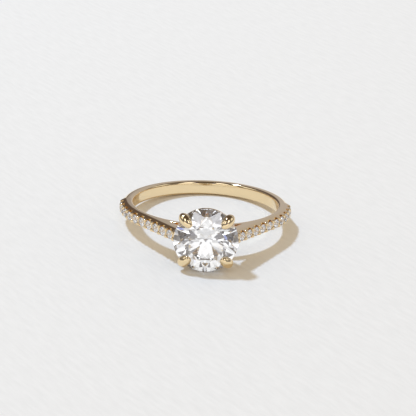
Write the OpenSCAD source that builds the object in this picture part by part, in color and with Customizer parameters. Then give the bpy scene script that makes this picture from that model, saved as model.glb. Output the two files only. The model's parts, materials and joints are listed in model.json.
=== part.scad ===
/* [Finger and band] */
// Inside diameter of the band, the finger hole
finger_d = 16.5; // [15:0.1:18.5]
// Width of the band along the finger
band_w = 1.55; // [1.5:0.05:1.8]
// Thickness of the plain stretch at the back
back_t = 1.30; // [1.25:0.01:1.5]
// Radius that rounds the outer edges of the plain stretch
back_round = 0.37; // [0.25:0.01:0.4]
// Thickness of the bridge that runs under the head
bridge_t = 0.66; // [0.6:0.01:0.72]
// Width that the band's sides lose on each side from the shoulders to the head
taper = 0.12; // [0.05:0.01:0.15]
// How far the edges of the finger hole are eased
hole_ease = 0.2; // [0.1:0.01:0.22]

/* [Shoulders] */
// Angle from the head at which each shoulder leaves the round band
shoulder_angle = 53; // [52:0.5:54]
// Thickness of the band under the side stones
pave_t = 1.15; // [1.12:0.01:1.2]
// Radius of the wide curve that the side stones follow beyond the straight shoulders
curve_r = 10.6; // [10.4:0.1:10.8]
// Width of the narrow face that holds the side stones
face_w = 1.06; // [1:0.01:1.1]
// Depth of the bevel beside the side stones
bevel_depth = 0.62; // [0.55:0.01:0.65]
// Depth of the straight shoulders
shoulder_depth = 1.42; // [1.4:0.01:1.6]
// Distance from the middle of the ring to the inner end of a shoulder
shoulder_end_x = 2.8; // [2.7:0.05:2.9]

/* [Side stones] */
// Side stones on each shoulder
side_count = 10; // [8:1:10]
// Diameter of a side stone
side_d = 1.02; // [0.99:0.01:1.05]
// Distance between neighbouring side stones
side_pitch = 1.30; // [1.29:0.01:1.32]
// Distance from the middle of the ring to the first side stone
first_stone_x = 3.98; // [3.9:0.01:4.05]
// Diameter of the beads that hold the side stones
bead_d = 0.44; // [0.43:0.01:0.46]
// Distance of each row of beads from the middle of the face
bead_row = 0.36; // [0.35:0.01:0.37]

/* [Centre stone] */
// Diameter of the centre stone
stone_d = 7.0; // [6.8:0.05:7.2]
// Height of the girdle plane above the middle of the ring
girdle_h = 12.14; // [12.1:0.01:12.3]

/* [Head] */
// Diameter of the four prongs
prong_d = 0.84; // [0.78:0.01:0.88]
// Distance of the top of each prong from the axis of the stone
prong_reach = 3.50; // [3.46:0.01:3.54]
// Width of each claw where it bends over the girdle
claw_d = 1.10; // [1.04:0.01:1.14]
// Distance of the tip of each claw from the axis of the stone
claw_reach = 2.74; // [2.65:0.01:2.8]
// Diameter of the tip of each claw
claw_tip_d = 0.58; // [0.5:0.01:0.64]
// Radius of the rail that joins the prongs
rail_r = 3.0; // [2.95:0.01:3.05]
// Thickness of the rail
rail_d = 0.62; // [0.56:0.01:0.66]

/* [Hidden] */
gold = [0.86, 0.74, 0.54];
ice = [0.93, 0.95, 0.98];
$fn = 48;

// Proportions of a round brilliant, as shares of its diameter or as angles
table_share = 0.57;
star_share = 0.5;
lower_share = 0.77;
crown_angle = 34.5;
pavilion_angle = 40.8;
girdle_share = 0.03;
mains = 8;
half_step = 180 / mains;
girdle_sides = 2 * mains;

// Gaps between a stone and the gold round it
centre_gap = 0.05;
side_gap = 0.03;

finger_r = finger_d / 2;
half_w = band_w / 2;
back_r = finger_r + back_t;
bridge_r = finger_r + bridge_t;
face_r = finger_r + pave_t;
flat_r = face_r - bevel_depth;
far = 30;

// Radius of the plain core of the band, and of the inner end of each section joined to it
core_r = flat_r - 0.05;
join_r = flat_r - 0.25;
sides = [1, -1];

// The side stones lie along a path: straight from the head, then along a curve that is wider than the band
shoulder_turn = shoulder_angle - 90;
straight_l = (face_r * sin(shoulder_angle) - first_stone_x) / cos(shoulder_angle);
path_l = (side_count - 1) * side_pitch;
end_land = 0.26;
end_margin = side_d / 2 + end_land;
curve_in = curve_r - face_r;
curve_turn = (path_l - straight_l + end_margin) / curve_r * 180 / PI;
path_end = curve_r * heading(shoulder_turn + curve_turn) - curve_in * heading(shoulder_turn);

// The plain back starts a little before the path's end, and the set stretch reaches into the core
back_overlap = 0.5;
back_start = atan2(path_end[1], path_end[0]) - back_overlap;
set_depth = 1;

// The straight shoulders lie a hair lower than the round stretch, which runs on inside them
shoulder_sink = 0.015;
run_on = 5;
taper_y = -flat_r * cos(shoulder_angle + 1);

// Room past the band's sides that each taper cut clears
taper_clear = 1;

// How far a bead's middle stands above the face
bead_rise = 0.03;

// The scallops on both sides of each side stone: width, distance from the middle of the face, depth
scallop_d = 0.84;
scallop_row = 0.25;
scallop_sink = 0.2;

// Steps that ease the edges of the finger hole, as shares of hole_ease
ease_mid = 0.3;
ease_wide = 1.1;
ease_above = 0.2;

// The bends of a prong, measured from the stone's axis, its girdle and the bridge
foot_x = 0.55;
foot_sink = 0.2;
knee_in = 0.15;
knee_drop = 0.94;
top_rise = 0.16;
rail_drop = 1.1;

// How much wider than its wire a ball is, so that it rounds the joint
joint_extra = 0.05;
tip_extra = 0.02;

// The ring lies on the girdle of its centre stone and on the back of the band
girdle_low_y = girdle_h - girdle_share * stone_d / 2;
round_r = back_r - back_round;
round_z = half_w - back_round;
rest_reach = girdle_low_y + round_r;
rest_drop = stone_d / 2 - round_z;
rest_tilt = atan2(rest_drop, rest_reach) - asin(back_round / norm([rest_reach, rest_drop]));
rest_low = girdle_low_y * sin(rest_tilt) - stone_d / 2 * cos(rest_tilt);
table_y = girdle_h + girdle_share * stone_d / 2 + crown_h(stone_d / 2);
table_low = table_share * stone_d / 2 * cos(half_step);
front_y = -table_y * cos(rest_tilt) - table_low * sin(rest_tilt);
rear_y = round_r * cos(rest_tilt) + round_z * sin(rest_tilt) + back_round;

function heading(turn) = [cos(turn), sin(turn)];
function two_digits(i) = i < 10 ? str("0", i) : str(i);
function side_name(side, i) = str("side_stone_", side > 0 ? "right_" : "left_", two_digits(i));

// Heights of a brilliant of radius r, measured from the girdle
function crown_h(r) = r * (1 - table_share) * tan(crown_angle);
function pavilion_h(r) = r * tan(pavilion_angle);
function star_r(r) = r * (table_share * cos(half_step) * (1 - star_share) + star_share);
function star_z(r) = (r - star_r(r) * cos(half_step)) * tan(crown_angle);
function lower_r(r) = r * (1 - lower_share);
function lower_z(r) = (r - lower_r(r) * cos(half_step)) * tan(pavilion_angle);

// Points spaced evenly round a circle at height z, and points along an arc
function around(r, z, n, turn) =
    [for (i = [0:n - 1]) let (a = i * 360 / n + turn) [r * cos(a), r * sin(a), z]];
function arc(x, y, r, a1, a2, n) =
    [for (i = [0:n]) let (a = a1 + (a2 - a1) * i / n) [x + r * cos(a), y + r * sin(a)]];

// A round brilliant: table, stars, kites, upper and lower girdle facets, pavilion mains
module brilliant(d) {
    r = d / 2;
    g = girdle_share * d / 2;
    points = concat(
        around(table_share * r, g + crown_h(r), mains, 0),
        around(star_r(r), g + star_z(r), mains, half_step),
        around(r, g, girdle_sides, 0),
        around(r, -g, girdle_sides, 0),
        around(lower_r(r), -g - lower_z(r), mains, half_step),
        [[0, 0, -g - pavilion_h(r)]]);
    star = mains;
    upper = star + mains;
    lower = upper + girdle_sides;
    tip = lower + girdle_sides;
    culet = tip + mains;
    table = [[for (i = [mains - 1:-1:0]) i]];
    crown = [for (i = [0:mains - 1]) let (next = (i + 1) % mains, last = (i + mains - 1) % mains) each [
        [i, next, star + i],
        [i, star + i, upper + 2 * i, star + last],
        [star + i, upper + 2 * i + 1, upper + 2 * i],
        [star + i, upper + 2 * next, upper + 2 * i + 1]]];
    girdle = [for (i = [0:girdle_sides - 1]) let (next = (i + 1) % girdle_sides)
        [upper + i, upper + next, lower + next, lower + i]];
    pavilion = [for (i = [0:mains - 1]) let (next = (i + 1) % mains, last = (i + mains - 1) % mains) each [
        [culet, tip + last, lower + 2 * i, tip + i],
        [tip + i, lower + 2 * i, lower + 2 * i + 1],
        [tip + i, lower + 2 * i + 1, lower + 2 * next]]];
    polyhedron(points, concat(table, crown, girdle, pavilion));
}

// The room a brilliant takes, turned about its axis, with a gap all round
module stone_room(d, gap) {
    r = d / 2;
    g = girdle_share * d / 2 + gap / 2;
    rotate_extrude()
        polygon([
            [0, -g - pavilion_h(r) - gap],
            [lower_r(r) + gap, -g - lower_z(r)],
            [r + gap, -g],
            [r + gap, g],
            [star_r(r) + gap, g + star_z(r)],
            [table_share * r + gap, g + crown_h(r)],
            [0, g + crown_h(r)]]);
}

// Lays the ring on its side, as it rests by itself
module resting() {
    translate([0, -(front_y + rear_y) / 2, -rest_low])
        rotate([-rest_tilt, 0, 0])
            children();
}

// Turns an upright piece so that its top points away from the middle through the head
module head_up() {
    rotate([90, 0, 0])
        children();
}

// Places a piece drawn on the X axis at a distance along the path of side stones
module along_path(s, side) {
    mirror([side > 0 ? 0 : 1, 0, 0])
        if (s < straight_l)
            rotate([0, 0, shoulder_turn])
                translate([0, s - straight_l, 0])
                    children();
        else
            on_curve()
                rotate([0, 0, (s - straight_l) / curve_r * 180 / PI])
                    translate([curve_in, 0, 0])
                        children();
}

// Lays a piece drawn about the curve's middle at the foot of the right shoulder
module on_curve() {
    rotate([0, 0, shoulder_turn])
        translate([-curve_in, 0, 0])
            children();
}

// Section of the band under the side stones, from its inner face to its narrow outer face
module pave_section(inner) {
    polygon([
        [inner, -half_w],
        [flat_r, -half_w],
        [face_r, -face_w / 2],
        [face_r, face_w / 2],
        [flat_r, half_w],
        [inner, half_w]]);
}

// Plain stretch at the back, with rounded outer edges
module back_stretch() {
    rotate_extrude(angle = 180 - 2 * back_start, start = back_start, $fn = 96)
        polygon(concat(
            [[join_r, -half_w]],
            arc(round_r, -round_z, back_round, -90, 0, 5),
            arc(round_r, round_z, back_round, 0, 90, 5),
            [[join_r, half_w]]));
}

// Curved stretch that holds the side stones beyond each shoulder
module pave_stretch() {
    on_curve()
        rotate_extrude(angle = curve_turn + run_on, start = -run_on, $fn = 96)
            translate([curve_in, 0])
                pave_section(face_r - set_depth);
}

// Straight shoulder, rising from the band to the head
module shoulder() {
    rotate([0, 0, shoulder_turn])
        rotate([90, 0, 0])
            linear_extrude(height = straight_l + first_stone_x / cos(shoulder_angle))
                translate([-shoulder_sink, 0])
                    pave_section(face_r - shoulder_depth);
}

// Shoulders, cut off under the centre stone
module shoulders() {
    difference() {
        for (side = sides)
            mirror([side > 0 ? 0 : 1, 0, 0])
                shoulder();
        translate([-shoulder_end_x, -far, -far / 2])
            cube([2 * shoulder_end_x, far, far]);
        head_up()
            translate([0, 0, girdle_h])
                stone_room(stone_d, 4 * centre_gap);
    }
}

// Low arch that closes the band under the head
module bridge() {
    rotate_extrude(angle = 2 * shoulder_angle, start = -90 - shoulder_angle, $fn = 96)
        translate([join_r, -half_w])
            square([bridge_r - join_r, band_w]);
}

// What the taper takes from each side of the band near the head
module taper_cuts() {
    for (z = sides)
        rotate([90, 0, 90])
            translate([0, 0, -far / 2])
                linear_extrude(height = far)
                    polygon([
                        [taper_y, z * half_w],
                        [taper_y, z * (half_w + taper_clear)],
                        [-girdle_h, z * (half_w + taper_clear)],
                        [-girdle_h, z * (half_w - taper)]]);
}

// Finger hole, whose edges are eased by two steps in turn
module finger_hole() {
    mid = ease_mid * hole_ease;
    wide = ease_wide * hole_ease;
    above = ease_above * hole_ease;
    rotate_extrude($fn = 96)
        polygon([
            [0, -far / 2],
            [finger_r + wide, -far / 2],
            [finger_r + wide, -half_w - above],
            [finger_r + mid, -half_w + mid],
            [finger_r, -half_w + hole_ease],
            [finger_r, half_w - hole_ease],
            [finger_r + mid, half_w - mid],
            [finger_r + wide, half_w + above],
            [finger_r + wide, far / 2],
            [0, far / 2]]);
}

// A straight wire that tapers from one point to another, in a plane through the stone's axis
module wire(from, to, d1, d2) {
    run = to - from;
    translate([from[0], 0, from[1]])
        rotate([0, atan2(run[0], run[1]), 0])
            cylinder(h = norm(run), d1 = d1, d2 = d2);
}

module ball(at, d) {
    translate([at[0], 0, at[1]])
        sphere(d = d);
}

// One prong, from the bridge past the girdle to a claw that lies on the crown
module prong() {
    r = stone_d / 2;
    foot = [foot_x, bridge_r - foot_sink];
    knee = [r - knee_in, girdle_h - knee_drop];
    top = [prong_reach, girdle_h + top_rise];
    tip = [claw_reach, girdle_h + girdle_share * r + (r - claw_reach) * tan(crown_angle)];
    joint = prong_d + joint_extra;
    ball(foot, joint);
    wire(foot, knee, prong_d, prong_d);
    ball(knee, joint);
    wire(knee, top, prong_d, claw_d - joint_extra);
    ball(top, claw_d);
    wire(top, tip, claw_d - joint_extra, claw_tip_d);
    ball(tip, claw_tip_d + tip_extra);
}

// Four prongs and the rail that joins them to each other and to the shoulders
module head() {
    head_up() {
        for (turn = [45:90:315])
            rotate([0, 0, turn])
                prong();
        translate([0, 0, girdle_h - rail_drop])
            rotate_extrude()
                translate([rail_r, 0])
                    circle(d = rail_d);
    }
}

// Beads in pairs between the side stones and past the last of them
module beads() {
    for (side = sides)
        for (i = [0:side_count])
            along_path((i - 0.5) * side_pitch, side)
                for (row = [-bead_row, bead_row])
                    translate([face_r + bead_rise, 0, row])
                        sphere(d = bead_d, $fn = 24);
}

// Scallops that open the band's bevels on both sides of each side stone
module scallops() {
    for (side = sides)
        for (i = [1:side_count])
            along_path((i - 1) * side_pitch, side)
                for (z = sides)
                    translate([face_r - scallop_sink, 0, z * scallop_row])
                        rotate([0, 90, 0])
                            cylinder(h = side_d, d = scallop_d, $fn = 24);
}

module side_seats() {
    for (side = sides)
        for (i = [1:side_count])
            along_path((i - 1) * side_pitch, side)
                translate([face_r, 0, 0])
                    rotate([0, 90, 0])
                        stone_room(side_d, side_gap, $fn = 32);
}

// The gold: band, shoulders, bridge, head and beads, soldered into one piece
module gold_setting() {
    color(gold)
        resting()
            difference() {
                union() {
                    difference() {
                        union() {
                            cylinder(h = band_w, r = core_r, center = true, $fn = 96);
                            back_stretch();
                            pave_stretch();
                            mirror([1, 0, 0])
                                pave_stretch();
                            bridge();
                            shoulders();
                        }
                        taper_cuts();
                        scallops();
                    }
                    head();
                    beads();
                }
                finger_hole();
                side_seats();
                head_up()
                    translate([0, 0, girdle_h])
                        stone_room(stone_d, centre_gap);
            }
}

module centre_stone() {
    color(ice)
        resting()
            head_up()
                translate([0, 0, girdle_h])
                    rotate([0, 0, half_step])
                        brilliant(stone_d);
}

module side_stone(side, i) {
    color(ice)
        resting()
            along_path((i - 1) * side_pitch, side)
                translate([face_r, 0, 0])
                    rotate([0, 90, 0])
                        brilliant(side_d);
}

gold_setting();
centre_stone();
for (side = sides)
    for (i = [1:side_count])
        side_stone(side, i);
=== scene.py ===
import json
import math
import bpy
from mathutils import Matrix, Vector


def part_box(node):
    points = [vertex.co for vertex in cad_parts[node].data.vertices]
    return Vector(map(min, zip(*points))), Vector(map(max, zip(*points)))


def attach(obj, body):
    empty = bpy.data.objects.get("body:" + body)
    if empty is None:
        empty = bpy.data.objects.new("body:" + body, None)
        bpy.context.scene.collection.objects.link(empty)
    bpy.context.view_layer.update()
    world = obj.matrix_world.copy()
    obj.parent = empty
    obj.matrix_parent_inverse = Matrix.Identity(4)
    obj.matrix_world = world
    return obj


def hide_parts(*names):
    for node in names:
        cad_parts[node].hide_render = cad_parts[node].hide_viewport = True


bl_info = {
    "name": "Diamond solitaire ring",
    "version": (1, 0, 0),
    "blender": (4, 5, 0),
    "location": "3D View > Sidebar > Ring",
    "description": "Builds a claw-set solitaire ring with bead-set shoulders, and a studio round it",
    "category": "Add Mesh",
}

from types import SimpleNamespace

import bmesh
import bpy
from bpy.props import FloatProperty, FloatVectorProperty, IntProperty, PointerProperty
from mathutils import Matrix, Vector

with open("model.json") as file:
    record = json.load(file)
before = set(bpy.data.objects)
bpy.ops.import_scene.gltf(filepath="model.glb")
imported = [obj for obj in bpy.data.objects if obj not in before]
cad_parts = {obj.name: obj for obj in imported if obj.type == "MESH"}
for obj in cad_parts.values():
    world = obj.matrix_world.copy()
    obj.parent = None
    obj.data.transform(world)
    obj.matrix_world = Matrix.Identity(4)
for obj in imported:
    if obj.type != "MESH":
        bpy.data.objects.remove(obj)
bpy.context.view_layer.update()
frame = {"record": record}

MM = 0.001
BODY = "root"
BORE = frame["record"]["mounts"][0]
SIDE_COUNT = sum(part["node"].startswith("side_stone_right") for part in frame["record"]["subparts"])

# Proportions of a round brilliant
TABLE_SHARE = 0.57
STAR_SHARE = 0.5
LOWER_SHARE = 0.77
CROWN_ANGLE = math.radians(34.5)
PAVILION_ANGLE = math.radians(40.8)
GIRDLE_SHARE = 0.03
MAINS = 8
HALF_STEP = math.pi / MAINS

# In how many straight steps one girdle facet follows the round girdle
CENTRE_STEPS = 6
SIDE_STEPS = 2


def node_width(node):
    """How wide a node of the frame is along X, in metres."""
    low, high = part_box(node)
    return high.x - low.x


def length(name, description, default):
    """A length that the user can change, stored in metres."""
    return FloatProperty(name=name, description=description, default=default, unit="LENGTH", precision=5)


class RingSizes(bpy.types.PropertyGroup):
    """Sizes of the ring."""

    finger_hole: length("Finger hole", "Diameter of the finger hole", 2 * BORE["dims"]["r_mm"] * MM)
    band_width: length("Band width", "Width of the band along the finger", 0.00155)
    back_thickness: length("Back thickness", "Thickness of the plain stretch at the back", 0.0013)
    back_round: length("Back rounding", "Rounding of the outer edges at the back", 0.00045)
    inner_round: length("Inner rounding", "Rounding of the edges of the finger hole", 0.0003)
    curve_radius: length("Curve radius", "Radius of the wide curve that the side stones follow", 0.0106)
    bridge_thickness: length("Bridge thickness", "Thickness of the band under the head", 0.00066)
    taper: length("Taper", "What each side of the band loses towards the head", 0.00012)
    shoulder_angle: FloatProperty(
        name="Shoulder angle",
        description="Angle from the head at which each shoulder leaves the round band",
        default=math.radians(53),
        subtype="ANGLE",
    )
    pave_thickness: length("Set thickness", "Thickness of the band under the side stones", 0.00115)
    face_width: length("Face width", "Width of the narrow face that holds the side stones", 0.00106)
    bevel_depth: length("Bevel depth", "Depth of the bevel beside the side stones", 0.00054)
    shoulder_depth: length("Shoulder depth", "Depth of the straight shoulders", 0.00142)
    shoulder_end: length("Shoulder end", "Distance from the middle to the end of a shoulder", 0.0028)
    side_count: IntProperty(name="Side stones", description="Side stones on a shoulder", default=SIDE_COUNT)
    side_diameter: length("Side stone", "Diameter of a side stone", 0.00102)
    side_pitch: length("Side pitch", "Distance between neighbouring side stones", 0.0013)
    first_stone: length("First stone", "Distance from the middle to the first side stone", 0.00398)
    bead: length("Bead", "Diameter of the beads that hold the side stones", 0.00044)
    bead_row: length("Bead row", "Distance of each row of beads from the middle of the face", 0.00036)
    scallop: length("Scallop", "Width of the scallops on both sides of each side stone", 0.0009)
    scallop_row: length("Scallop row", "Distance of a row of scallops from the middle of the face", 0.00027)
    scallop_depth: length("Scallop depth", "Depth of the scallops", 0.00026)
    stone_diameter: length("Centre stone", "Diameter of the centre stone", node_width("centre_stone"))
    girdle_height: length("Girdle height", "Height of the girdle above the middle of the ring", 0.01214)
    prong: length("Prong", "Diameter of the four prongs", 0.00084)
    prong_reach: length("Prong reach", "Distance of each prong's top from the stone's axis", 0.00344)
    claw: length("Claw", "Width of each claw over the girdle", 0.0013)
    claw_reach: length("Claw reach", "Distance of each claw's tip from the stone's axis", 0.00284)
    claw_tip: length("Claw tip", "Diameter of the tip of each claw", 0.00114)
    rail_radius: length("Rail radius", "Radius of the rail that joins the prongs", 0.003)
    rail: length("Rail", "Thickness of the rail", 0.00062)


def colour(name, description, default):
    """A colour that the user can change."""
    return FloatVectorProperty(
        name=name, description=description, default=default, size=3, min=0, max=1, subtype="COLOR"
    )


class RingFinish(bpy.types.PropertyGroup):
    """Colours and finishes of the ring and its studio."""

    gold: colour("Gold", "Colour of the pale yellow gold", (0.92, 0.735, 0.455))
    polish: FloatProperty(
        name="Polish roughness", description="Roughness of the polished gold", default=0.07, subtype="FACTOR"
    )
    ice: colour("Diamond", "Tint of the diamonds", (0.985, 0.99, 1.0))
    refraction: FloatProperty(name="Refraction", description="Refractive index of diamond", default=2.417)
    paper: colour("Paper", "Colour of the surface that the ring lies on", (0.8, 0.8, 0.8))
    key_light: FloatProperty(name="Key light", description="Power of the key light in watts", default=37.6)
    room_light: FloatProperty(name="Room light", description="Strength of the soft light", default=1.0)


# Small distances of the band, in millimetres: how far the round core lies under the bevels, the plain
# end past the last side stone, and the radius of the rail's inner side, which the core hides
CORE_INSET = 0.05
END_LAND = 0.26
HIDDEN_R = 8.5


def measures(context):
    """Every size in millimetres in the ring's own frame, with the ones that follow from them."""
    sizes = context.scene.ring_sizes
    m = SimpleNamespace()
    for name, prop in RingSizes.bl_rna.properties.items():
        if prop.type == "FLOAT" and prop.unit == "LENGTH":
            setattr(m, name, getattr(sizes, name) / MM)
    m.side_count = sizes.side_count
    m.angle = sizes.shoulder_angle
    m.hole_r = m.finger_hole / 2
    m.half_w = m.band_width / 2
    m.back_r = m.hole_r + m.back_thickness
    m.bridge_r = m.hole_r + m.bridge_thickness
    m.face_r = m.hole_r + m.pave_thickness
    m.flat_r = m.face_r - m.bevel_depth
    m.core_r = m.flat_r - CORE_INSET
    m.straight = (m.face_r * math.sin(m.angle) - m.first_stone) / math.cos(m.angle)
    m.path = (m.side_count - 1) * m.side_pitch + m.side_diameter / 2 + END_LAND
    end = path_frame(m, m.path, 1) @ Vector((m.face_r, 0, 0))
    m.set_end = math.atan2(end.x, -end.y)
    return m


def ring_to_part():
    """From millimetres in the ring's own frame to metres in the part's frame."""
    axis = Vector(BORE["axis"])
    across = Vector((1, 0, 0))
    turn = Matrix((across, axis.cross(across), axis)).transposed().to_4x4()
    return Matrix.Translation(BORE["pos_m"]) @ turn @ Matrix.Scale(MM, 4)


def mesh_from(name, points, faces):
    """A closed mesh whose faces all look outwards."""
    mesh = bpy.data.meshes.new(name)
    mesh.from_pydata(points, [], faces)
    return tidied(mesh)


def tidied(mesh):
    """The same mesh with all its faces looking outwards."""
    bm = bmesh.new()
    bm.from_mesh(mesh)
    bmesh.ops.recalc_face_normals(bm, faces=bm.faces)
    bm.to_mesh(mesh)
    bm.free()
    return mesh


def joined(name, meshes):
    """One mesh that holds all of these."""
    bm = bmesh.new()
    for mesh in meshes:
        bm.from_mesh(mesh)
        bpy.data.meshes.remove(mesh)
    mesh = bpy.data.meshes.new(name)
    bm.to_mesh(mesh)
    bm.free()
    return mesh


def loft(name, rings, closed=False):
    """A mesh through rings of as many points each, closed on itself or capped at its ends."""
    count = len(rings[0])
    points = [p for ring in rings for p in ring]
    faces = []
    for i in range(len(rings) if closed else len(rings) - 1):
        here, there = i * count, (i + 1) % len(rings) * count
        for j in range(count):
            k = (j + 1) % count
            faces.append((here + j, here + k, there + k, there + j))
    if not closed:
        faces.append(tuple(range(count)))
        faces.append(tuple(range((len(rings) - 1) * count, len(rings) * count)))
    return mesh_from(name, points, faces)


def revolved(name, profile, sides):
    """A mesh turned about Z from (radius, height) points that start and end on the axis."""
    low, high = profile[0], profile[-1]
    points = [(0, 0, low[1]), (0, 0, high[1])]
    inner = profile[1:-1]
    for r, z in inner:
        for i in range(sides):
            a = 2 * math.pi * i / sides
            points.append((r * math.cos(a), r * math.sin(a), z))
    faces = []
    for i in range(sides):
        k = (i + 1) % sides
        faces.append((0, 2 + i, 2 + k))
        last = 2 + (len(inner) - 1) * sides
        faces.append((1, last + k, last + i))
        for row in range(len(inner) - 1):
            a, b = 2 + row * sides, 2 + (row + 1) * sides
            faces.append((a + i, b + i, b + k, a + k))
    return mesh_from(name, points, faces)


def rounded(corners, steps):
    """The corners (x, y, cut) of a closed outline, each replaced by a curve that starts cut away from it."""
    points = []
    for i, (x, y, cut) in enumerate(corners):
        corner = Vector((x, y))
        before = Vector(corners[i - 1][:2])
        after = Vector(corners[(i + 1) % len(corners)][:2])
        start = corner + (before - corner).normalized() * cut
        end = corner + (after - corner).normalized() * cut
        for k in range(steps + 1):
            t = k / steps
            points.append(start * (1 - t) ** 2 + corner * 2 * t * (1 - t) + end * t**2)
    return points


def combined(target, other, operation):
    """The mesh that is left when a boolean is worked out. Both meshes are used up."""
    things = []
    for mesh in (target, other):
        thing = bpy.data.objects.new(mesh.name, mesh)
        bpy.context.scene.collection.objects.link(thing)
        things.append(thing)
    cut = things[0].modifiers.new("combine", "BOOLEAN")
    cut.object = things[1]
    cut.operation = operation
    cut.solver = "EXACT"
    bpy.context.view_layer.update()
    shown = things[0].evaluated_get(bpy.context.evaluated_depsgraph_get())
    result = bpy.data.meshes.new_from_object(shown)
    for thing in things:
        old = thing.data
        bpy.data.objects.remove(thing)
        bpy.data.meshes.remove(old)
    if not result.polygons:
        raise RuntimeError(f"{operation} left nothing of {result.name}")
    return result


def shade(mesh, sharp_angle):
    """Smooth shading that stays sharp at edges over an angle."""
    mesh.shade_smooth()
    mesh.set_sharp_from_angle(angle=sharp_angle)


def place_piece(name, mesh, material, slot, *nodes):
    """Puts a mesh drawn in the ring's own frame into the scene, in place of nodes of the frame."""
    mesh.transform(ring_to_part())
    mesh.name = name
    mesh.materials.clear()
    mesh.materials.append(material)
    piece = bpy.data.objects.new(name, mesh)
    bpy.context.scene.collection.objects.link(piece)
    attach(piece, BODY)
    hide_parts(*nodes)


# Heights and radii of a brilliant of radius r, measured from its girdle
def crown_h(r):
    return r * (1 - TABLE_SHARE) * math.tan(CROWN_ANGLE)


def pavilion_h(r):
    return r * math.tan(PAVILION_ANGLE)


def star_r(r):
    return r * (TABLE_SHARE * math.cos(HALF_STEP) * (1 - STAR_SHARE) + STAR_SHARE)


def star_z(r):
    return (r - star_r(r) * math.cos(HALF_STEP)) * math.tan(CROWN_ANGLE)


def lower_r(r):
    return r * (1 - LOWER_SHARE)


def lower_z(r):
    return (r - lower_r(r) * math.cos(HALF_STEP)) * math.tan(PAVILION_ANGLE)


def polar(r, a, z):
    return Vector((r * math.cos(a), r * math.sin(a), z))


def brilliant(name, diameter, steps):
    """A round brilliant with a round girdle. Each girdle facet follows the girdle in some steps."""
    r = diameter / 2
    g = GIRDLE_SHARE * r
    halves = 2 * MAINS
    around = halves * steps
    table = [polar(TABLE_SHARE * r, i * 2 * HALF_STEP, g + crown_h(r)) for i in range(MAINS)]
    stars = [polar(star_r(r), (2 * i + 1) * HALF_STEP, g + star_z(r)) for i in range(MAINS)]
    tips = [polar(lower_r(r), (2 * i + 1) * HALF_STEP, -g - lower_z(r)) for i in range(MAINS)]
    points = table + stars + tips + [Vector((0, 0, -g - pavilion_h(r)))]
    culet = len(points) - 1
    upper = len(points)
    lower = upper + around

    def girdle_points(inner_points, height):
        """The edge of the girdle, where each half facet's plane meets the round side."""
        found = []
        for half in range(halves):
            inner = inner_points[half // 2]
            one, two = (polar(r, (half + k) * HALF_STEP, height) for k in (0, 1))
            normal = (one - inner).cross(two - inner)
            for k in range(steps):
                p = polar(r, (half + k / steps) * HALF_STEP, 0)
                p.z = inner.z - (normal.x * (p.x - inner.x) + normal.y * (p.y - inner.y)) / normal.z
                found.append(p)
        return found

    points += girdle_points(stars, g) + girdle_points(tips, -g)
    faces = [tuple(range(MAINS))]
    for i in range(MAINS):
        star, last_star = MAINS + i, MAINS + (i - 1) % MAINS
        tip, last_tip = 2 * MAINS + i, 2 * MAINS + (i - 1) % MAINS
        ridge = 2 * i * steps
        faces.append((i, (i + 1) % MAINS, star))
        faces.append((i, star, upper + ridge, last_star))
        faces.append((culet, last_tip, lower + ridge, tip))
        for half in (0, 1):
            edge = [(ridge + half * steps + k) % around for k in range(steps + 1)]
            faces.append((star, *[upper + k for k in edge]))
            faces.append((tip, *[lower + k for k in edge]))
    for k in range(around):
        after = (k + 1) % around
        faces.append((upper + k, upper + after, lower + after, lower + k))
    return mesh_from(name, points, faces)


def stone_room(diameter, gap):
    """The room a brilliant takes, turned about its axis, with a gap all round."""
    r = diameter / 2
    g = GIRDLE_SHARE * r + gap / 2
    return revolved(
        "room",
        [
            (0, -g - pavilion_h(r) - gap),
            (lower_r(r) + gap, -g - lower_z(r)),
            (r + gap, -g),
            (r + gap, g),
            (star_r(r) + gap, g + star_z(r)),
            (TABLE_SHARE * r + gap, g + crown_h(r)),
            (0, g + crown_h(r)),
        ],
        ROUND_SIDES,
    )


def head_up(height):
    """Turns a piece drawn upright so that its top points away from the middle through the head."""
    return Matrix.Rotation(math.pi / 2, 4, "X") @ Matrix.Translation((0, 0, height))


def path_frame(m, s, side):
    """Where a piece drawn about the outward axis X goes, at a distance along the path of side stones."""
    place = Matrix.Rotation(m.angle - math.pi / 2, 4, "Z")
    if s < m.straight:
        place @= Matrix.Translation((0, s - m.straight, 0))
    else:
        inward = Vector((m.curve_radius - m.face_r, 0, 0))
        swing = Matrix.Rotation((s - m.straight) / m.curve_radius, 4, "Z")
        place @= Matrix.Translation(-inward) @ swing @ Matrix.Translation(inward)
    return place if side > 0 else Matrix.Scale(-1, 4, (1, 0, 0)) @ place


def seat_frame(m, i, side):
    """Where side stone i sits, drawn upright with its girdle at the origin."""
    lie = Matrix.Translation((m.face_r, 0, 0)) @ Matrix.Rotation(math.pi / 2, 4, "Y")
    return path_frame(m, i * m.side_pitch, side) @ lie


# How the corners of the band's section are rounded, in millimetres
SECTION_STEPS = 5
BRIDGE_ROUND = 0.012
CORNER_CUT = 0.05
BEVEL_CUT = 0.1
NO_CUT = 0.004

# Angles round the ring: from where to where the bridge gets thin, how long the bevels take to become the
# plain back, the thin wall at the end of the set stretch, and how far before the shoulder the taper ends
BRIDGE_BLEND = (math.radians(50), math.radians(40))
BACK_BLEND = math.radians(10)
END_WALL = 0.002
TAPER_MARGIN = math.radians(1)

# How many steps the round stretch of a shoulder has, and the straight one too
RAIL_STATIONS = 60


def smooth_step(low, high, value):
    """Rises smoothly from 0 at the low value to 1 at the high one."""
    t = min(1, max(0, (value - low) / (high - low)))
    return t * t * (3 - 2 * t)


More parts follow.
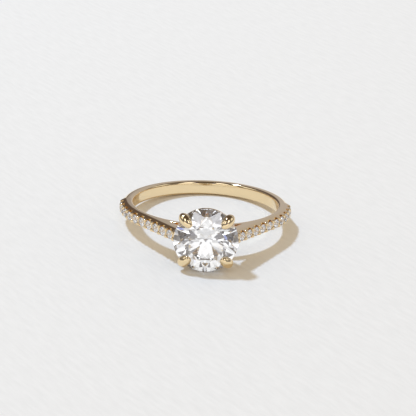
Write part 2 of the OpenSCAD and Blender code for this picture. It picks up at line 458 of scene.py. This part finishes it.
def hoop(m):
    """The band all the way round: the finger hole, the back and the bridge under the head."""
    degree = math.radians(1)
    turns = [i * degree for i in range(-180, 180)]
    turns += [side * (m.set_end + nudge) for side in (-1, 1) for nudge in (-END_WALL / 2, END_WALL / 2)]
    rings = []
    for turn in sorted(turns):
        away = abs(turn)
        if away > m.set_end:
            plain = smooth_step(m.set_end, m.set_end + BACK_BLEND, away)
            outer = m.back_r
            deep = m.bevel_depth + (m.back_round - m.bevel_depth) * plain
            wide = m.half_w - m.face_width / 2
            wide += (m.back_round - wide) * plain
            side_cut = BEVEL_CUT + (deep / 2 - BEVEL_CUT) * plain
            face_cut = CORNER_CUT + (wide / 2 - CORNER_CUT) * plain
        else:
            bridge = smooth_step(*BRIDGE_BLEND, away)
            outer = m.core_r + (m.bridge_r - m.core_r) * bridge
            deep = wide = BRIDGE_ROUND
            side_cut = face_cut = NO_CUT
        section = rounded(
            [
                (m.hole_r, -m.half_w, m.inner_round),
                (outer - deep, -m.half_w, side_cut),
                (outer, wide - m.half_w, face_cut),
                (outer, m.half_w - wide, face_cut),
                (outer - deep, m.half_w, side_cut),
                (m.hole_r, m.half_w, m.inner_round),
            ],
            SECTION_STEPS,
        )
        rings.append([(r * math.sin(turn), -r * math.cos(turn), z) for r, z in section])
    return loft("hoop", rings, closed=True)


def set_rail(m, side):
    """One shoulder: the round stretch that holds side stones, and the straight rise to the head."""
    stretch = m.path - m.straight
    reach = m.straight + m.first_stone / math.cos(m.angle)
    stations = [m.straight + stretch * k / RAIL_STATIONS for k in range(RAIL_STATIONS, 0, -1)]
    stations += [m.straight - reach * k / RAIL_STATIONS for k in range(RAIL_STATIONS + 1)]
    rings = []
    for s in stations:
        along = max(0, m.straight - s)
        over = (path_frame(m, s, side) @ Vector((m.face_r, 0, 0))).length - m.face_r if s > m.straight else 0
        inner = math.sqrt(max(0, HIDDEN_R**2 - along**2)) - over
        inner = max(inner, m.face_r - m.shoulder_depth)
        section = rounded(
            [
                (inner, -m.half_w, NO_CUT),
                (m.flat_r, -m.half_w, BEVEL_CUT),
                (m.face_r, -m.face_width / 2, CORNER_CUT),
                (m.face_r, m.face_width / 2, CORNER_CUT),
                (m.flat_r, m.half_w, BEVEL_CUT),
                (inner, m.half_w, NO_CUT),
            ],
            SECTION_STEPS,
        )
        place = path_frame(m, s, side)
        rings.append([place @ Vector((u, 0, z)) for u, z in section])
    return loft("set_rail", rings)


def narrowed(m, mesh):
    """Brings the band's sides together towards the head, and leaves the narrow face as wide as it is."""
    start = m.flat_r * math.cos(m.angle + TAPER_MARGIN)
    keep = m.face_width / 2
    for v in mesh.vertices:
        share = (-v.co.y - start) / (m.girdle_height - start)
        beyond = abs(v.co.z) - keep
        if share > 0 and beyond > 0:
            beyond *= 1 - m.taper * share / (m.half_w - keep)
            v.co.z = math.copysign(keep + beyond, v.co.z)
    return mesh


# What is cut away between the shoulders' ends: its reach towards the head and to both sides
MIDDLE_REACH = 20
MIDDLE_HALF = 5


def middle_block(m):
    """The room between the ends of the two shoulders, under the head."""
    x = m.shoulder_end
    points = [(i * x, y, k * MIDDLE_HALF) for k in (-1, 1) for y in (-MIDDLE_REACH, 0) for i in (-1, 1)]
    faces = [(0, 1, 3, 2), (4, 5, 7, 6), (0, 1, 5, 4), (2, 3, 7, 6), (0, 2, 6, 4), (1, 3, 7, 5)]
    return mesh_from("middle", points, faces)


# The well under a side stone as (radius, height), measured from the stone's edge and from the face, and
# the height of its point
WELL = ((-0.2, -0.36), (0.04, -0.14))
WELL_POINT = -0.62
WELL_SIDES = 40

# The gap that the shoulders leave round the centre stone, and the sides of its room and of the rail
ROOM_GAP = 0.2
ROUND_SIDES = 96


def well(m):
    """What is cut out right under and round a side stone."""
    r = m.side_diameter / 2
    slope = [(r + out, height) for out, height in WELL]
    top = (slope[-1][0], m.side_diameter)
    return revolved("well", [(0, WELL_POINT), *slope, top, (0, top[1])], WELL_SIDES)


def scallop(m, row):
    """What opens the bevel beside a side stone."""
    r = m.scallop / 2
    low, high = -m.scallop_depth, m.side_diameter
    mesh = revolved("scallop", [(0, low), (r, low), (r, high), (0, high)], WELL_SIDES)
    mesh.transform(Matrix.Translation((row * m.scallop_row, 0, 0)))
    return mesh


def band_mesh(m):
    """The whole band: hoop and shoulders as one, with a well and scallops at each side stone."""
    band = hoop(m)
    for side in (1, -1):
        rail = combined(set_rail(m, side), middle_block(m), "DIFFERENCE")
        room = stone_room(m.stone_diameter, ROOM_GAP)
        room.transform(head_up(m.girdle_height))
        rail = combined(rail, room, "DIFFERENCE")
        band = combined(band, rail, "UNION")
    band = narrowed(m, band)
    for row in (0, 1, -1):
        seats = []
        for side in (1, -1):
            for i in range(m.side_count):
                seat = scallop(m, row) if row else well(m)
                seat.transform(seat_frame(m, i, side))
                seats.append(seat)
        band = combined(band, tidied(joined("seats", seats)), "DIFFERENCE")
    return band


# The prongs and claws, in millimetres: where a prong's foot stands, the point that bends it, how far the
# claw stands off the stone and over the girdle and the crown, and how far the rail lies under the girdle
FOOT_REACH = 0.55
FOOT_SINK = 0.2
KNEE_IN = 0.1
KNEE_DROP = 1.3
CLAW_GAP = 0.015
CLAW_BACK = 0.14
CLAW_RISE = 0.06
RAIL_DROP = 1.1
PRONG_SIDES = 32
PRONG_RINGS = 20
CLAW_RINGS = 30
RAIL_SIDES = 24

# The rail's points start this share of a step off the prongs' middles, so that no edge of the one runs
# through a point of the other
RAIL_SHIFT = 0.3


def bezier(points, t):
    """A point on the curve that these points steer."""
    points = [Vector(p) for p in points]
    while len(points) > 1:
        points = [a.lerp(b, t) for a, b in zip(points, points[1:])]
    return points[0]


def ring_at(point, along, radius):
    """A circle of points about a direction in the plane of reach and height."""
    side = Vector((0, 1, 0))
    up = along.cross(side)
    turns = [2 * math.pi * k / PRONG_SIDES for k in range(PRONG_SIDES)]
    return [point + (side * math.cos(a) + up * math.sin(a)) * radius for a in turns]


def leg_mesh(m, top):
    """One prong, from its foot on the band to its claw."""
    foot = (FOOT_REACH, m.bridge_r - FOOT_SINK)
    knee = (m.stone_diameter / 2 - KNEE_IN, m.girdle_height - KNEE_DROP)
    line = [bezier([foot, knee, top], k / PRONG_RINGS) for k in range(PRONG_RINGS + 1)]
    rings = []
    for i, p in enumerate(line):
        a, b = line[max(0, i - 1)], line[min(PRONG_RINGS, i + 1)]
        along = Vector((b.x - a.x, 0, b.y - a.y)).normalized()
        rings.append(ring_at(Vector((p.x, 0, p.y)), along, m.prong / 2))
    return loft("leg", rings)


def claw_mesh(back, back_r, tip, tip_r):
    """One claw: an egg whose thick end stands over the girdle and whose tip lies on the crown."""
    back, tip = Vector((back[0], 0, back[1])), Vector((tip[0], 0, tip[1]))
    along = (tip - back).normalized()
    low, high = back - along * back_r, tip + along * tip_r
    rings = []
    for k in range(1, CLAW_RINGS):
        lean = math.pi * (k / CLAW_RINGS - 0.5)
        share = (math.sin(lean) + 1) / 2
        radius = (back_r + (tip_r - back_r) * share) * math.cos(lean)
        rings.append(ring_at(low.lerp(high, share), along, radius))
    return loft("claw", rings)


def prong_mesh(m):
    """One prong with its claw, cut to the stone, in the plane of X and Z."""
    r = m.stone_diameter / 2
    back = (m.prong_reach, m.girdle_height + CLAW_BACK)
    crown = GIRDLE_SHARE * r + (r - m.claw_reach) * math.tan(CROWN_ANGLE)
    tip = (m.claw_reach, m.girdle_height + crown + CLAW_RISE)
    claw = claw_mesh(back, m.claw / 2, tip, m.claw_tip / 2)
    prong = combined(leg_mesh(m, back), claw, "UNION")
    room = brilliant("room", m.stone_diameter + 2 * CLAW_GAP, CENTRE_STEPS)
    room.transform(Matrix.Translation((0, 0, m.girdle_height)) @ Matrix.Rotation(HALF_STEP, 4, "Z"))
    return combined(prong, room, "DIFFERENCE")


def rail_mesh(m):
    """The round rail that joins the prongs under the stone."""
    thick = m.rail / 2
    height = m.girdle_height - RAIL_DROP
    circle = [2 * math.pi * (k + RAIL_SHIFT) / ROUND_SIDES for k in range(ROUND_SIDES)]
    around = [2 * math.pi * (k + RAIL_SHIFT) / RAIL_SIDES for k in range(RAIL_SIDES)]
    section = [(m.rail_radius + thick * math.cos(b), height + thick * math.sin(b)) for b in around]
    return loft("rail", [[polar(r, a, z) for r, z in section] for a in circle], closed=True)


def head_mesh(m):
    """The head: the rail and its four prongs, turned so that the stone looks away from the finger."""
    head = rail_mesh(m)
    for quarter in range(4):
        prong = prong_mesh(m)
        prong.transform(Matrix.Rotation(math.radians(45 + 90 * quarter), 4, "Z"))
        head = combined(head, prong, "UNION")
    head.transform(head_up(0))
    return head


# How far the middles of the beads stand over the face, and those of the last pair, in millimetres
BEAD_RISE = -0.03
END_BEAD_RISE = -0.12


def beads_mesh(m):
    """The round beads between the side stones, two at each gap and at both ends."""
    beads = []
    for side in (1, -1):
        for i in range(m.side_count + 1):
            place = path_frame(m, (i - 0.5) * m.side_pitch, side)
            rise = END_BEAD_RISE if i == m.side_count else BEAD_RISE
            for row in (-m.bead_row, m.bead_row):
                bm = bmesh.new()
                bmesh.ops.create_icosphere(bm, subdivisions=3, radius=m.bead / 2)
                bead = bpy.data.meshes.new("bead")
                bm.to_mesh(bead)
                bm.free()
                bead.transform(place @ Matrix.Translation((m.face_r + rise, 0, row)))
                beads.append(bead)
    return tidied(joined("beads", beads))


def new_material(name):
    """A material that holds only a Principled shader and its output."""
    material = bpy.data.materials.new(name)
    material.use_nodes = True
    tree = material.node_tree
    tree.nodes.clear()
    out = tree.nodes.new("ShaderNodeOutputMaterial")
    shader = tree.nodes.new("ShaderNodeBsdfPrincipled")
    tree.links.new(shader.outputs["BSDF"], out.inputs["Surface"])
    return material, tree, shader


def value_group(name, inputs, outputs):
    """An empty node group with named number sockets, and its input and output nodes."""
    group = bpy.data.node_groups.new(name, "ShaderNodeTree")
    for socket, default in inputs:
        made = group.interface.new_socket(socket, in_out="INPUT", socket_type="NodeSocketFloat")
        made.default_value = default
    for socket in outputs:
        group.interface.new_socket(socket, in_out="OUTPUT", socket_type="NodeSocketFloat")
    return group, group.nodes.new("NodeGroupInput"), group.nodes.new("NodeGroupOutput")


# The marks on the polished gold: how fine they are, in marks to the metre, how much they change the
# roughness, and how strong and how deep they are
MOTTLE_SCALE = 900
HAIR_SCALE = (400, 400, 9000)
MARK_VARIATION = 0.04
MARK_STRENGTH = 0.1
MARK_DEPTH = 0.00001


def polish_marks():
    """Fine marks that polishing leaves: a soft mottle and hairlines that run round the band."""
    wanted = [("Roughness", 0.1), ("Variation", MARK_VARIATION)]
    group, inputs, outputs = value_group("polish_marks", wanted, ["Roughness", "Height"])
    nodes, links = group.nodes, group.links
    place = nodes.new("ShaderNodeTexCoord")
    mottle = nodes.new("ShaderNodeTexNoise")
    mottle.inputs["Scale"].default_value = MOTTLE_SCALE
    mottle.inputs["Detail"].default_value = 3
    links.new(place.outputs["Object"], mottle.inputs["Vector"])
    stretch = nodes.new("ShaderNodeMapping")
    stretch.inputs["Scale"].default_value = HAIR_SCALE
    links.new(place.outputs["Object"], stretch.inputs["Vector"])
    hairs = nodes.new("ShaderNodeTexNoise")
    hairs.inputs["Scale"].default_value = 1
    hairs.inputs["Detail"].default_value = 2
    links.new(stretch.outputs["Vector"], hairs.inputs["Vector"])
    mix = nodes.new("ShaderNodeMath")
    mix.operation = "ADD"
    links.new(mottle.outputs["Fac"], mix.inputs[0])
    links.new(hairs.outputs["Fac"], mix.inputs[1])
    centre = nodes.new("ShaderNodeMath")
    centre.operation = "SUBTRACT"
    centre.inputs[1].default_value = 1
    links.new(mix.outputs[0], centre.inputs[0])
    vary = nodes.new("ShaderNodeMath")
    vary.operation = "MULTIPLY_ADD"
    links.new(centre.outputs[0], vary.inputs[0])
    links.new(inputs.outputs["Variation"], vary.inputs[1])
    links.new(inputs.outputs["Roughness"], vary.inputs[2])
    links.new(vary.outputs[0], outputs.inputs["Roughness"])
    links.new(mix.outputs[0], outputs.inputs["Height"])
    return group


def polished_gold(context):
    """Pale gold with the fine marks of polishing, made once for all the gold pieces."""
    found = bpy.data.materials.get("polished_gold")
    if found:
        return found
    finish = context.scene.ring_finish
    material, tree, shader = new_material("polished_gold")
    shader.inputs["Metallic"].default_value = 1
    shader.inputs["Base Color"].default_value = (*finish.gold, 1)
    marks = tree.nodes.new("ShaderNodeGroup")
    marks.node_tree = polish_marks()
    marks.inputs["Roughness"].default_value = finish.polish
    tree.links.new(marks.outputs["Roughness"], shader.inputs["Roughness"])
    relief = tree.nodes.new("ShaderNodeBump")
    relief.inputs["Strength"].default_value = MARK_STRENGTH
    relief.inputs["Distance"].default_value = MARK_DEPTH
    tree.links.new(marks.outputs["Height"], relief.inputs["Height"])
    tree.links.new(relief.outputs["Normal"], shader.inputs["Normal"])
    return material


def diamond(context):
    """Clear diamond, made once for all the stones."""
    found = bpy.data.materials.get("cut_diamond")
    if found:
        return found
    finish = context.scene.ring_finish
    material, _, shader = new_material("cut_diamond")
    shader.inputs["Transmission Weight"].default_value = 1
    shader.inputs["IOR"].default_value = finish.refraction
    shader.inputs["Base Color"].default_value = (*finish.ice, 1)
    shader.inputs["Roughness"].default_value = 0
    return material


# How the paper's fibres lie: their turn about Z, how long, wide and high they are in metres, how much
# their tone differs, and how strong and how deep their relief is
FIBRE_TURN = math.radians(-55)
FIBRE_SIZE = (0.0024, 0.0005, 0.001)
FIBRE_CONTRAST = 0.06
FIBRE_STRENGTH = 0.4
FIBRE_DEPTH = 0.00008


def paper(context):
    """Pale paper with fine slanting fibres."""
    finish = context.scene.ring_finish
    material, tree, shader = new_material("paper")
    shader.inputs["Roughness"].default_value = 0.9
    shader.inputs["Specular IOR Level"].default_value = 0
    place = tree.nodes.new("ShaderNodeTexCoord")
    lay = tree.nodes.new("ShaderNodeMapping")
    lay.vector_type = "TEXTURE"
    lay.inputs["Rotation"].default_value = (0, 0, FIBRE_TURN)
    lay.inputs["Scale"].default_value = FIBRE_SIZE
    tree.links.new(place.outputs["Object"], lay.inputs["Vector"])
    grain = tree.nodes.new("ShaderNodeTexNoise")
    grain.inputs["Scale"].default_value = 1
    grain.inputs["Detail"].default_value = 3
    tree.links.new(lay.outputs["Vector"], grain.inputs["Vector"])
    tone = tree.nodes.new("ShaderNodeMix")
    tone.data_type = "RGBA"
    for socket, share in (("A", 1 - FIBRE_CONTRAST), ("B", 1 + FIBRE_CONTRAST)):
        tone.inputs[socket].default_value = (*[share * c for c in finish.paper], 1)
    tree.links.new(grain.outputs["Fac"], tone.inputs["Factor"])
    tree.links.new(tone.outputs["Result"], shader.inputs["Base Color"])
    relief = tree.nodes.new("ShaderNodeBump")
    relief.inputs["Strength"].default_value = FIBRE_STRENGTH
    relief.inputs["Distance"].default_value = FIBRE_DEPTH
    tree.links.new(grain.outputs["Fac"], relief.inputs["Height"])
    tree.links.new(relief.outputs["Normal"], shader.inputs["Normal"])
    return material


def direction(azimuth, elevation):
    """A direction from the ring: azimuth 0 is behind it, along +Y, and 90 is on its left."""
    a, e = math.radians(azimuth), math.radians(elevation)
    return Vector((-math.sin(a) * math.cos(e), math.cos(a) * math.cos(e), math.sin(e)))


# The key light, which throws the shadow: where it stands, in degrees, how far away and how large it is
KEY_AZIMUTH = 60
KEY_ELEVATION = 63.5
KEY_DISTANCE = 1.2
KEY_RADIUS = 0.055
KEY_COLOUR = (0.6, 0.77, 1.0)

# What the ring mirrors, painted over each other in this order: the name of each card, its place in the
# columns below, in degrees, and its colour
CARD_PLACE = ("Middle Azimuth", "Middle Elevation", "Half Width", "Half Height", "Softness")
CARDS = (
    ("ceiling", 0, 90, 181, 42, 10, (0.11, 0.085, 0.065)),
    ("back_wall", -20, 4, 44, 36, 8, (0.49, 0.48, 0.53)),
    ("back_left_shade", 27, 20, 19, 32, 10, (0.12, 0.095, 0.09)),
    ("front_horizon", 172, 2, 52, 13, 3, (1.15, 1.15, 1.15)),
    ("left_window", 95, 40, 14, 14, 3, (1.2, 1.2, 1.2)),
    ("front_box_left", 146, 50, 11, 12, 2, (2.2, 2.2, 2.25)),
    ("front_box_right", 217, 46, 11, 13, 2, (2.2, 2.2, 2.25)),
    ("camera_shade", 181, 27, 6, 6, 2, (0.2, 0.17, 0.14)),
    ("right_window", 268, 34, 12, 14, 3, (1.0, 1.0, 1.0)),
    ("right_shade", 244, 24, 6, 24, 2, (0.25, 0.24, 0.24)),
    ("left_shade", 120, 26, 5, 26, 2, (0.1, 0.09, 0.09)),
    ("blue_glint", 166, 32, 1.5, 3, 1, (0.4, 0.5, 1.1)),
    ("violet_glint", 198, 36, 1.5, 3, 1, (0.6, 0.45, 1.1)),
)

# The room behind the cards, the even light that falls on the paper, and what the camera sees past it
ROOM_TONE = (0.22, 0.21, 0.22)
AMBIENT = (0.71, 0.605, 0.465)
SEEN_GROUND = (0.86, 0.86, 0.86)


def card_group():
    """How far a direction, given by its angles in degrees, lies inside a soft-edged card."""
    wanted = [(socket, 0) for socket in ("Azimuth", "Elevation", *CARD_PLACE)]
    group, inputs, outputs = value_group("card", wanted, ["Mask"])
    nodes, links = group.nodes, group.links

    def math_node(operation, *values):
        """What a Math node gives for these sockets or numbers."""
        node = nodes.new("ShaderNodeMath")
        node.operation = operation
        for socket, value in zip(node.inputs, values):
            if isinstance(value, bpy.types.NodeSocket):
                links.new(value, socket)
            else:
                socket.default_value = value
        return node.outputs[0]

    get = inputs.outputs
    across = math_node("SUBTRACT", get["Azimuth"], get["Middle Azimuth"])
    across = math_node("ABSOLUTE", math_node("WRAP", across, 180, -180))
    up = math_node("ABSOLUTE", math_node("SUBTRACT", get["Elevation"], get["Middle Elevation"]))
    sides = []
    for distance, half in ((across, get["Half Width"]), (up, get["Half Height"])):
        ramp = nodes.new("ShaderNodeMapRange")
        ramp.interpolation_type = "SMOOTHSTEP"
        links.new(distance, ramp.inputs["Value"])
        links.new(math_node("ADD", half, get["Softness"]), ramp.inputs["From Min"])
        links.new(half, ramp.inputs["From Max"])
        sides.append(ramp.outputs["Result"])
    links.new(math_node("MULTIPLY", *sides), outputs.inputs["Mask"])
    return group


def studio_world(context):
    """Cards round the ring for what it mirrors, and an even light for the paper."""
    world = bpy.data.worlds.new("studio")
    context.scene.world = world
    world.use_nodes = True
    world.cycles.sampling_method = "NONE"
    nodes, links = world.node_tree.nodes, world.node_tree.links
    nodes.clear()
    place = nodes.new("ShaderNodeTexCoord")
    split = nodes.new("ShaderNodeSeparateXYZ")
    links.new(place.outputs["Generated"], split.inputs["Vector"])

    def angle_of(operation, *sockets, sign=1):
        """The angle that the operation gives for these sockets, in degrees."""
        node = nodes.new("ShaderNodeMath")
        node.operation = operation
        for k, socket in enumerate(sockets):
            links.new(socket, node.inputs[k])
        degrees = nodes.new("ShaderNodeMath")
        degrees.operation = "MULTIPLY"
        links.new(node.outputs[0], degrees.inputs[0])
        degrees.inputs[1].default_value = sign * math.degrees(1)
        return degrees.outputs[0]

    azimuth = angle_of("ARCTAN2", split.outputs["X"], split.outputs["Y"], sign=-1)
    elevation = angle_of("ARCSINE", split.outputs["Z"])
    group = card_group()
    colour_now = None
    for name, *numbers, tint in CARDS:
        card = nodes.new("ShaderNodeGroup")
        card.name = card.label = name
        card.node_tree = group
        links.new(azimuth, card.inputs["Azimuth"])
        links.new(elevation, card.inputs["Elevation"])
        for socket, number in zip(CARD_PLACE, numbers):
            card.inputs[socket].default_value = number
        mix = nodes.new("ShaderNodeMix")
        mix.data_type = "RGBA"
        links.new(card.outputs["Mask"], mix.inputs["Factor"])
        if colour_now:
            links.new(colour_now, mix.inputs["A"])
        else:
            mix.inputs["A"].default_value = (*ROOM_TONE, 1)
        mix.inputs["B"].default_value = (*tint, 1)
        colour_now = mix.outputs["Result"]
    mirrored = nodes.new("ShaderNodeBackground")
    links.new(colour_now, mirrored.inputs["Color"])
    even = nodes.new("ShaderNodeBackground")
    even.inputs["Color"].default_value = (*AMBIENT, 1)
    even.inputs["Strength"].default_value = context.scene.ring_finish.room_light
    ground = nodes.new("ShaderNodeBackground")
    ground.inputs["Color"].default_value = (*SEEN_GROUND, 1)
    ray = nodes.new("ShaderNodeLightPath")
    diffuse = nodes.new("ShaderNodeMixShader")
    links.new(ray.outputs["Is Diffuse Ray"], diffuse.inputs["Fac"])
    links.new(mirrored.outputs["Background"], diffuse.inputs[1])
    links.new(even.outputs["Background"], diffuse.inputs[2])
    seen = nodes.new("ShaderNodeMixShader")
    links.new(ray.outputs["Is Camera Ray"], seen.inputs["Fac"])
    links.new(diffuse.outputs["Shader"], seen.inputs[1])
    links.new(ground.outputs["Background"], seen.inputs[2])
    out = nodes.new("ShaderNodeOutputWorld")
    links.new(seen.outputs["Shader"], out.inputs["Surface"])


# The camera, found by fitting it to the rims of the finger hole and the outline of the stone. The
# distance and the sensor are in millimetres, and the pixels are the photograph's
CAMERA_LIFT = math.radians(16.62)
CAMERA_SWING = math.radians(-0.974)
CAMERA_ROLL = math.radians(2.144)
CAMERA_DISTANCE = 200
FOCAL_PIXELS = 1754.8
MIDDLE_PIXEL = (205.33, 208.04)
PICTURE = 416
SENSOR = 36


def photo_camera(context):
    """A camera at the photo's angle to the ring."""
    back = Vector((
        math.sin(CAMERA_SWING) * math.cos(CAMERA_LIFT),
        -math.cos(CAMERA_SWING) * math.cos(CAMERA_LIFT),
        math.sin(CAMERA_LIFT),
    ))
    right = Vector((math.cos(CAMERA_SWING), math.sin(CAMERA_SWING), 0))
    up = back.cross(right)
    turned_right = right * math.cos(CAMERA_ROLL) + up * math.sin(CAMERA_ROLL)
    turned_up = up * math.cos(CAMERA_ROLL) - right * math.sin(CAMERA_ROLL)
    axes = Matrix((turned_right, turned_up, back)).transposed().to_4x4()
    data = bpy.data.cameras.new("photo_camera")
    data.sensor_width = SENSOR
    data.lens = FOCAL_PIXELS * SENSOR / PICTURE
    data.clip_start = 0.01
    data.shift_x = (PICTURE / 2 - MIDDLE_PIXEL[0]) / PICTURE
    data.shift_y = (MIDDLE_PIXEL[1] - PICTURE / 2) / PICTURE
    camera = bpy.data.objects.new("photo_camera", data)
    context.scene.collection.objects.link(camera)
    place = ring_to_part() @ Matrix.Translation(back * CAMERA_DISTANCE) @ axes
    location, rotation, _ = place.decompose()
    camera.matrix_world = Matrix.Translation(location) @ rotation.to_matrix().to_4x4()
    context.scene.camera = camera


# How far the surface under the ring reaches, in metres
SHEET_RADIUS = 0.8


def paper_sheet(context):
    """The surface that the ring lies on."""
    bm = bmesh.new()
    bmesh.ops.create_circle(bm, cap_ends=True, segments=64, radius=SHEET_RADIUS)
    mesh = bpy.data.meshes.new("paper_sheet")
    bm.to_mesh(mesh)
    bm.free()
    mesh.materials.append(paper(context))
    sheet = bpy.data.objects.new("paper_sheet", mesh)
    context.scene.collection.objects.link(sheet)


def key_light(context):
    """The small lamp that throws the shadow."""
    bulb = bpy.data.lights.new("key_light", "POINT")
    bulb.energy = context.scene.ring_finish.key_light
    bulb.color = KEY_COLOUR
    bulb.shadow_soft_size = KEY_RADIUS
    lamp = bpy.data.objects.new("key_light", bulb)
    lamp.location = direction(KEY_AZIMUTH, KEY_ELEVATION) * KEY_DISTANCE
    context.scene.collection.objects.link(lamp)


def trace_settings(scene):
    """Enough bounces for light to find its way through the stones, and plain tones."""
    scene.view_settings.view_transform = "Standard"
    scene.cycles.max_bounces = 28
    scene.cycles.transmission_bounces = 24
    scene.cycles.glossy_bounces = 12
    scene.cycles.diffuse_bounces = 4
    scene.cycles.caustics_reflective = True
    scene.cycles.caustics_refractive = True
    scene.cycles.blur_glossy = 0.3
    scene.cycles.sample_clamp_indirect = 6
    scene.cycles.use_denoising = True


class RingStage(bpy.types.Operator):
    """Lays the pale paper, hangs the lights and sets the camera"""

    bl_idname = "ring.stage"
    bl_label = "Stage"

    def execute(self, context):
        paper_sheet(context)
        key_light(context)
        studio_world(context)
        photo_camera(context)
        trace_settings(context.scene)
        return {"FINISHED"}


# From which angle an edge stays sharp, on the band and on the round head
BAND_SHARP = math.radians(22)
HEAD_SHARP = math.radians(35)


class RingBand(bpy.types.Operator):
    """Makes the band, its shoulders and the bridge under the head"""

    bl_idname = "ring.band"
    bl_label = "Band"

    def execute(self, context):
        mesh = band_mesh(measures(context))
        shade(mesh, BAND_SHARP)
        place_piece("gold_band", mesh, polished_gold(context), "gold", "gold_setting")
        return {"FINISHED"}


class RingHead(bpy.types.Operator):
    """Makes the four prongs with their claws, and the rail that joins them"""

    bl_idname = "ring.head"
    bl_label = "Head"

    def execute(self, context):
        mesh = head_mesh(measures(context))
        shade(mesh, HEAD_SHARP)
        place_piece("gold_head", mesh, polished_gold(context), "gold", "gold_setting")
        return {"FINISHED"}


class RingBeads(bpy.types.Operator):
    """Makes the beads that hold the side stones"""

    bl_idname = "ring.beads"
    bl_label = "Beads"

    def execute(self, context):
        mesh = beads_mesh(measures(context))
        mesh.shade_smooth()
        place_piece("gold_beads", mesh, polished_gold(context), "gold", "gold_setting")
        return {"FINISHED"}


class RingCentreStone(bpy.types.Operator):
    """Cuts the centre stone"""

    bl_idname = "ring.centre_stone"
    bl_label = "Centre stone"

    def execute(self, context):
        m = measures(context)
        mesh = brilliant("centre_brilliant", m.stone_diameter, CENTRE_STEPS)
        mesh.transform(head_up(m.girdle_height) @ Matrix.Rotation(HALF_STEP, 4, "Z"))
        place_piece("centre_brilliant", mesh, diamond(context), "diamond", "centre_stone")
        return {"FINISHED"}


class RingSideStones(bpy.types.Operator):
    """Cuts the side stones and lays them along both shoulders"""

    bl_idname = "ring.side_stones"
    bl_label = "Side stones"

    def execute(self, context):
        m = measures(context)
        for side, word in ((1, "right"), (-1, "left")):
            for i in range(m.side_count):
                mesh = brilliant("side", m.side_diameter, SIDE_STEPS)
                mesh.transform(seat_frame(m, i, side))
                if side < 0:
                    mesh.flip_normals()
                number = f"{word}_{i + 1:02d}"
                place_piece(f"brilliant_{number}", mesh, diamond(context), "diamond", f"side_stone_{number}")
        return {"FINISHED"}


STEPS = (RingStage, RingBand, RingHead, RingBeads, RingCentreStone, RingSideStones)


class RingPanel(bpy.types.Panel):
    """Lists what the ring is made of, with its sizes and finishes"""

    bl_label = "Solitaire ring"
    bl_idname = "VIEW3D_PT_solitaire_ring"
    bl_space_type = "VIEW_3D"
    bl_region_type = "UI"
    bl_category = "Ring"

    def draw(self, context):
        for step in STEPS:
            self.layout.operator(step.bl_idname)
        for group in (context.scene.ring_sizes, context.scene.ring_finish):
            column = self.layout.column()
            for name in group.__annotations__:
                column.prop(group, name)


CLASSES = (RingSizes, RingFinish, *STEPS, RingPanel)


def register():
    for cls in CLASSES:
        bpy.utils.register_class(cls)
    bpy.types.Scene.ring_sizes = PointerProperty(type=RingSizes)
    bpy.types.Scene.ring_finish = PointerProperty(type=RingFinish)


def unregister():
    del bpy.types.Scene.ring_finish
    del bpy.types.Scene.ring_sizes
    for cls in reversed(CLASSES):
        bpy.utils.unregister_class(cls)


def main():
    register()
    bpy.ops.ring.stage()
    bpy.ops.ring.band()
    bpy.ops.ring.head()
    bpy.ops.ring.beads()
    bpy.ops.ring.centre_stone()
    bpy.ops.ring.side_stones()


if __name__ == "__main__":
    main()
